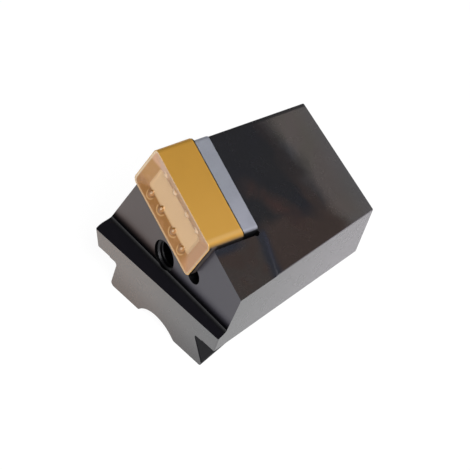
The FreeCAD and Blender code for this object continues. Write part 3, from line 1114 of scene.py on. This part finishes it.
@dataclass(frozen=True)
class Pocket(Sizes):
    """Tools that cut the pocket, its relief hole, the facet beside it and the rooms for lever and screw."""

    wall_gap: float = 0.1
    rest_gap: float = 0.02
    relief_radius: float = 2.6
    relief_extra: float = 1.0
    below: float = 3.0
    groove: float = 0.75
    facet_step: float = 0.3
    facet_rise: float = 20.0
    facet_skew: float = 9.0
    facet_back: float = 1.0
    bore_radius: float = 4.28
    bore_depth: float = 34.1
    mouth: float = 0.35
    edge_break: float = 0.25
    sleeve_depth: float = 4.75
    leg_offset: float = 0.92
    leg_radius: float = 3.8
    leg_depth: float = 13.2
    pivot_depth: float = 9.4
    arm_length: float = 16.4
    arm_front: float = 3.33
    arm_back: float = 2.7
    arm_width: float = 5.8

    @property
    def right(self) -> float:
        """Place of the right wall along the insert."""
        return self.length + self.wall_gap

    def tools(self) -> list[Workpiece]:
        """Builds the tools.

        Returns:
            The tools, in the seat's axes.
        """
        right, low, far = self.right, -self.width - self.rest_gap, self.reach
        pocket = Workpiece.cube("pocket", (-far, -far, low), (right, self.seat_depth, far))
        end = self.seat_depth + self.relief_extra
        relief = Workpiece.rod("relief", (right, -far, low), (right, end, low), self.relief_radius)
        top = -self.top_drop - self.facet_step
        facet = Workpiece.cube("facet", (self.length, -far, top), (far, far, far))
        rise, skew = math.radians(self.facet_rise), math.radians(self.facet_skew)
        out = Vector((-math.sin(skew) * math.sin(rise), -math.cos(skew) * math.sin(rise), math.cos(rise)))
        facet.slice(Vector((right, self.seat_depth + self.facet_back, top)), out, keep_beyond=True)
        x, z = self.screw_x, self.screw_z
        bore = Workpiece.rod("bore", (x, -far, z), (x, self.bore_depth, z), self.bore_radius, 128)
        x, seat = right - self.groove / 2, self.seat_depth + self.groove / 4
        groove = Workpiece.rod("groove", (x, seat, low), (x, seat, far), self.groove, 32)
        return [pocket, relief, facet, bore, groove, *self.lever_rooms()]

    def holds(self, seat: Vector) -> bool:
        """Tells whether a place is inside the pocket, in its relief hole or on its broken edges.

        Args:
            seat: The place, in the seat's axes.

        Returns:
            True if it is.
        """
        front, above = seat.y < self.slope_drop + NEAR, seat.z > -self.top_drop - NEAR
        if front or above or seat.z < -self.width - self.below:
            return False
        inside = seat.x < self.right + NEAR and seat.y < self.seat_depth + NEAR
        off = Vector((seat.x - self.right, seat.z + self.width)).length
        hole = off < self.relief_radius + 2 * SLIGHT and seat.y < self.seat_depth + self.relief_extra + NEAR
        back = seat.x < self.right + NEAR and seat.y < self.seat_depth + self.edge_break - NEAR
        side = seat.x < self.right + self.edge_break - NEAR and seat.y < self.seat_depth + NEAR
        broken = (back or side) and seat.z > -self.top_drop - self.facet_step - self.edge_break
        return inside or hole or broken

    def on_edge(self, edge: Edge) -> bool:
        """Tells whether an edge is one of the upper edges of the pocket.

        Args:
            edge: The edge, in the head's axes.

        Returns:
            True if it is.
        """
        if sharpness(edge) < SHARP:
            return False
        ends = [SEAT.inverted() @ vert.co for vert in edge.verts]
        if not all(-self.top_drop - 2 * self.facet_step < end.z < -self.top_drop + LOOSE for end in ends):
            return False
        wall = all(abs(end.x - self.right) < LOOSE for end in ends)
        return wall or all(abs(end.y - self.seat_depth) < LOOSE for end in ends)

    def on_mouth(self, edge: Edge) -> bool:
        """Tells whether an edge is on the rim of the screw's bore in the slope.

        Args:
            edge: The edge, in the head's axes.

        Returns:
            True if it is.
        """
        for vert in edge.verts:
            place = SEAT.inverted() @ vert.co
            off = Vector((place.x - self.screw_x, place.z - self.screw_z)).length - self.bore_radius
            if abs(place.y - self.slope_drop) > LOOSE or abs(off) > LOOSE:
                return False
        return True

    def lever_rooms(self) -> list[Workpiece]:
        """Rooms for the sleeve, the leg of the lever and its arm.

        Returns:
            Their tools, in the seat's axes.
        """
        seat, above = self.seat_depth, self.seat_depth - 1
        x, z = self.hole_x, self.hole_z
        sleeve = Workpiece.rod(
            "sleeve_room", (x, above, z), (x, seat + self.sleeve_depth, z), self.sleeve_room
        )
        run = Vector((self.screw_x - x, 0, self.screw_z - z)).normalized()
        x, z = x + run.x * self.leg_offset, z + run.z * self.leg_offset
        leg = Workpiece.rod("leg_room", (x, above, z), (x, seat + self.leg_depth, z), self.leg_radius, 64)
        half = self.arm_width / 2
        arm = Workpiece.cube("arm_room", (0, -self.arm_front, -half), (self.arm_length, self.arm_back, half))
        pivot = Matrix.Translation((x, seat + self.pivot_depth, z))
        arm.place(pivot @ Matrix.Rotation(math.atan2(-run.z, run.x), 4, "Y"))
        return [sleeve, leg, arm]


@dataclass(frozen=True)
class CuttingInsert(Sizes):
    """Coated carbide insert with its pressed chip breaker."""

    land: float = 0.5
    end_run: float = 4.6
    side_run: float = 4.4
    bump_radii: Triple = (1.15, 1.15, 2.2)
    bump_crest: float = 0.34
    hole_radius: float = 3.7
    hole_depth: float = 6.0
    hone: float = 0.07
    seat_break: float = 0.10
    slot_depth: float = 0.6
    recess_corner: float = 0.7
    floor_round: float = 0.45

    def recess(self) -> Workpiece:
        """Tool for the hipped chip breaker.

        It starts above the rake face, so its walls lean by the whole height.

        Returns:
            The tool, in the seat's axes.
        """
        inset, above = self.land, 1
        low, high = (inset, -above, inset - self.width), (self.length - inset, self.breaker_depth, -inset)
        tool = Workpiece.cube("breaker", low, high)
        wide, tall = self.length - 2 * inset, self.width - 2 * inset
        ends, sides = 2 * self.end_run, 2 * self.side_run
        more = (self.breaker_depth + above) / self.breaker_depth - 1
        tool.edit(Part.FACE)
        for side, grow in ((1, -1), (-1, more)):
            bpy.ops.mesh.select_all(action="DESELECT")
            tool.pick(Part.FACE, lambda f, side=side: f.normal.y * side > FACING)
            bpy.ops.transform.resize(value=((wide + grow * ends) / wide, 1, (tall + grow * sides) / tall))
        tool.done()
        tool.bevel(spans_y, self.recess_corner, 6)
        return tool

    def bumps(self) -> list[Workpiece]:
        """Rounded fingers on the long slopes of the chip breaker, which stand out more towards its floor.

        Returns:
            The fingers, in the seat's axes.
        """
        made = []
        level = self.bump_crest + self.bump_radii[1]
        for (off_x, off_z), side_x, side_z in product(self.fingers, (-1, 1), (-1, 1)):
            place = (self.length / 2 + side_x * off_x, level, -self.width / 2 + side_z * off_z)
            made.append(Workpiece.ball("finger", place, self.bump_radii))
        return made

    def build(self, look: Material) -> None:
        """Builds the insert.

        Args:
            look: Its material.
        """
        top = (self.length, self.thickness - self.slot, 0)
        insert = Workpiece.cube("carbide_insert", (0, 0, -self.width), top)
        insert.bevel(spans_y, self.insert_corner, 12)
        insert.bevel(lambda e: is_sharp(e) and e.verts[0].co.y < 1, self.hone, 3)
        insert.bevel(lambda e: is_sharp(e) and e.verts[0].co.y > 1, self.seat_break, 2)
        insert.edit(Part.FACE)
        insert.pick(Part.FACE, lambda f: f.normal.y > FACING)
        bpy.ops.mesh.inset(thickness=self.slot_depth, depth=0)
        bpy.ops.mesh.extrude_region_move(TRANSFORM_OT_translate={"value": (0, self.slot, 0)})
        insert.done()
        insert.cut(self.recess())
        floor = self.breaker_depth - NEAR
        insert.bevel(
            lambda e: sharpness(e) < -5 and all(v.co.y > floor for v in e.verts), self.floor_round, 4
        )
        insert.add(*self.bumps())
        x, z = self.length / 2, -self.width / 2
        bottom, beyond = (x, self.thickness - self.hole_depth, z), (x, self.thickness + 1, z)
        insert.cut(Workpiece.rod("hole", bottom, beyond, self.hole_radius))
        insert.clean()
        insert.finish(Axes.SEAT, "head", "coated_carbide", look, ["insert"])


@dataclass(frozen=True)
class ShimPlate(Sizes):
    """Ground carbide plate under the insert."""

    left: float = 1.0
    bottom: float = -17.05
    hone: float = 0.16

    def build(self, look: Material) -> None:
        """Builds the plate.

        Args:
            look: Its material.
        """
        front, back, x, z = self.thickness, self.seat_depth, self.hole_x, self.hole_z
        low, high = (self.left, front, self.bottom), (self.shim_end, back, self.shim_top)
        plate = Workpiece.cube("shim_plate", low, high)
        plate.bevel(spans_y, self.shim_corner, 10)
        plate.cut(Workpiece.rod("hole", (x, front - 1, z), (x, back + 1, z), self.sleeve_room))
        plate.bevel(is_sharp, self.hone, 2)
        plate.clean()
        plate.finish(Axes.SEAT, "head", "bare_carbide", look, ["shim"])


@dataclass(frozen=True)
class BoreThread(Sizes):
    """Thread in the mouth of the screw's bore, outside the reach of the screw."""

    start: float = 2.6
    pitch: float = 1.0
    turns: int = 2
    wall: float = 4.30
    crest: float = 3.72
    flat: float = 0.12
    foot_share: float = 0.44
    sides: int = 64

    def build(self, look: Material) -> None:
        """Builds the coil from one tooth by a screw modifier.

        Args:
            look: Its material.
        """
        foot = self.pitch * self.foot_share
        tooth = Workpiece.cube("bore_thread", (self.crest, 0, -foot), (self.wall, 1, foot))
        tooth.edit(Part.FACE)
        tooth.pick(Part.FACE, lambda f: f.normal.x < -FACING)
        bpy.ops.transform.resize(value=(1, 1, self.flat / (2 * foot)))
        bpy.ops.mesh.select_all(action="DESELECT")
        tooth.pick(Part.FACE, lambda f: f.normal.y > -FACING)
        bpy.ops.mesh.delete(type="FACE")
        tooth.done()
        coil = tooth.obj.modifiers.new("coil", "SCREW")
        coil.axis, coil.angle, coil.screw_offset = "Z", math.tau, self.pitch
        coil.iterations, coil.steps, coil.render_steps = self.turns, self.sides, self.sides
        tooth.take()
        bpy.ops.object.modifier_apply(modifier=coil.name)
        tooth.edit(Part.EDGE)
        bpy.ops.mesh.select_non_manifold()
        bpy.ops.mesh.fill_holes(sides=8)
        bpy.ops.mesh.select_all(action="SELECT")
        bpy.ops.mesh.normals_make_consistent(inside=False)
        tooth.done()
        place = Matrix.Translation((self.screw_x, self.start + foot, self.screw_z))
        tooth.place(place @ Matrix.Rotation(-math.pi / 2, 4, "X"))
        # The thread's high number paints shade on it.
        tooth.mark(lambda middle, normal: Cut.THREAD)
        tooth.finish(Axes.SEAT, "head", "black_steel", look)


@dataclass(frozen=True)
class LeverScrew(Sizes):
    """Screw that works the lever, with a waist and a hexagon socket. Its thread isn't modelled."""

    head: float = 6.7
    tail: float = 32.9
    radius: float = 4.2
    waist_start: float = 22.7
    waist_end: float = 27.4
    waist_radius: float = 2.3
    chamfer: float = 0.45
    flats: float = 4.0
    socket_depth: float = 3.2
    socket_break: float = 0.15
    socket_turn: float = 50.0
    tip_length: float = 0.9
    tip_radii: tuple[float, float] = (4.0 / 2.1, 0.1)

    def rod(
        self, name: str, start: float, end: float, radius: float, sides: int = 96,
        end_radius: float | None = None,
    ) -> Workpiece:
        """A rod or cone on the screw's axis."""
        x, z = self.screw_x, self.screw_z
        return Workpiece.rod(name, (x, start, z), (x, end, z), radius, sides, end_radius)

    def on_socket(self, edge: Edge) -> bool:
        """Tells whether an edge is a sharp edge of the socket in the head's face.

        Args:
            edge: The edge, in the seat's axes.

        Returns:
            True if it is.
        """
        for vert in edge.verts:
            off = Vector((vert.co.x - self.screw_x, vert.co.z - self.screw_z)).length
            if abs(vert.co.y - self.head) >= NEAR or off >= self.flats:
                return False
        return sharpness(edge) > self.socket_turn

    def build(self, look: Material) -> None:
        """Builds the screw.

        Args:
            look: Its material.
        """
        screw = self.rod("hex_screw", self.head, self.tail, self.radius)
        screw.bevel(is_sharp, self.chamfer, 2)
        ring = self.rod("ring", self.waist_start, self.waist_end, 2 * self.radius)
        ring.cut(self.rod("waist", self.waist_start - 1, self.waist_end + 1, self.waist_radius))
        screw.cut(ring)
        point = self.head + self.socket_depth
        socket = self.rod("socket", self.head - 1, point, self.flats / math.sqrt(3), 6)
        wide, narrow = self.tip_radii
        screw.cut(socket, self.rod("tip", point - 0.01, point + self.tip_length, wide, 48, narrow))
        screw.clean()
        screw.bevel(self.on_socket, self.socket_break, 2)
        screw.mark(lambda middle, normal: Cut.SCREW)
        screw.finish(Axes.SEAT, "screw", "black_steel", look, ["lever_screw"])


def main() -> None:
    """Builds every piece, then the studio."""
    logging.basicConfig(level=logging.INFO, format="%(message)s")
    black = BlackOxide().make()
    gold = GoldCoating().make()
    carbide = GroundCarbide().make()
    spring = SpringSteel().make()
    HeadBody().build(black, Pocket())
    CuttingInsert().build(gold)
    ShimPlate().build(carbide)
    BoreThread().build(black)
    LeverScrew().build(black)
    for node, look in (("clamp_lever", black), ("shim_sleeve", spring)):
        dress_node(node, look)
    Studio().build()


def dress_node(node: str, look: Material) -> None:
    """Gives a CAD node its material, in the slots that it has.

    Args:
        node: Name of the node.
        look: Its material.
    """
    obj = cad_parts[node]
    for slot in obj.material_slots:
        slot.material = look
    log.info("%s: CAD node with %s", node, look.name)


@dataclass(frozen=True)
class Studio:
    """Floor, lamps, world and the camera, in metres."""

    camera_place: Triple = (0.61812, -0.46972, 0.72275)
    camera_right: Triple = (0.6061, 0.7954, -0.0042)
    camera_up: Triple = (-0.5322, 0.4094, 0.7411)
    lens: float = 306.4
    sensor: float = 36.0
    floor_size: float = 8.0
    sheet: float = 0.09
    horizon: float = 0.3
    overhead: float = 0.04
    paper: float = 0.8
    glow: float = 1.06
    aim: Triple = (0, 0, 0.03)

    def camera(self) -> None:
        """Camera at the photograph's place, with a long lens."""
        data = bpy.data.cameras.new("camera")
        data.lens = self.lens
        data.sensor_width = self.sensor
        data.clip_start, data.clip_end = 0.01, 50.0
        made = bpy.data.objects.new("camera", data)
        right, up = Vector(self.camera_right).normalized(), Vector(self.camera_up).normalized()
        back = right.cross(up).normalized()
        up = back.cross(right).normalized()
        turn = Matrix((right, up, back)).transposed().to_4x4()
        made.matrix_world = Matrix.Translation(self.camera_place) @ turn
        bpy.context.collection.objects.link(made)
        bpy.context.scene.camera = made

    def lamp(self, name: str, place: Sequence[float], size: Sequence[float], power: float) -> None:
        """Soft rectangular lamp that faces the head.

        Args:
            name: Its name.
            place: Where it stands.
            size: Its width and height.
            power: Its power in watts.
        """
        data = bpy.data.lights.new(name, "AREA")
        data.shape = "RECTANGLE"
        data.size, data.size_y = size
        data.energy = power
        made = bpy.data.objects.new(name, data)
        made.location = place
        made.rotation_euler = (Vector(self.aim) - Vector(place)).to_track_quat("-Z", "Y").to_euler()
        bpy.context.collection.objects.link(made)

    def floor(self) -> None:
        """Pale floor that keeps a soft shadow."""
        bpy.ops.mesh.primitive_grid_add(
            x_subdivisions=4, y_subdivisions=4, size=self.floor_size, location=(0, 0, 0)
        )
        made = bpy.context.object
        made.name = "floor"
        paint, g = new_material("floor_white")
        path = g.node("ShaderNodeLightPath").outputs
        rays = ("Camera", "Glossy", "Transmission")
        camera, glossy, through = (Sock(g, path[f"Is {ray} Ray"]) for ray in rays)
        matt = g.node("ShaderNodeBsdfDiffuse", {"Color": (*(self.paper,) * 3, 1.0)})
        away = g.out("ShaderNodeVectorMath", {0: g.place()}, "Value", operation="LENGTH")
        dim = away.rise(self.sheet, 3 * self.sheet) * (1 - camera)
        tone = g.mix(dim, (1.0, 1.0, 1.0), (self.horizon,) * 3)
        tone = g.mix(camera, g.mix(0.06, tone, (0.0, 0.0, 0.0)), tone)
        glow = g.node("ShaderNodeEmission", {"Color": tone, "Strength": self.glow})
        share = camera.most(glossy).most(through) * 0.9
        blend = g.node("ShaderNodeMixShader", {0: share, 1: matt.outputs[0], 2: glow.outputs[0]})
        g.node("ShaderNodeOutputMaterial", {0: blend.outputs[0]})
        made.data.materials.append(paint)

    def world(self) -> None:
        """White to the camera, and dim overhead with a pale horizon for the object."""
        made = bpy.data.worlds.new("studio")
        bpy.context.scene.world = made
        made.use_nodes = True
        g = Graph(made.node_tree)
        camera = g.out("ShaderNodeLightPath", None, "Is Camera Ray")
        height = g.split(g.out("ShaderNodeTexCoord", None, "Generated"))[2]
        sky = g.mix(height.rise(-0.02, 0.3), (self.horizon,) * 3, (self.overhead,) * 3)
        colour = g.mix(camera, sky, (1.0, 1.0, 1.0))
        back = g.node("ShaderNodeBackground", {"Color": colour, "Strength": 1.0})
        g.node("ShaderNodeOutputWorld", {0: back.outputs[0]})

    def build(self) -> None:
        """Sets the studio up."""
        self.camera()
        self.floor()
        self.world()
        self.lamp("key", (1.05, -0.25, 1.15), (0.7, 0.7), 28.0)
        self.lamp("front", (0.35, -1.5, 0.35), (0.8, 0.5), 7.0)
        self.lamp("left", (-1.5, 0.5, 0.3), (0.8, 0.8), 3.0)
        bpy.context.scene.view_settings.view_transform = "Standard"


if __name__ == "__main__":
    main()
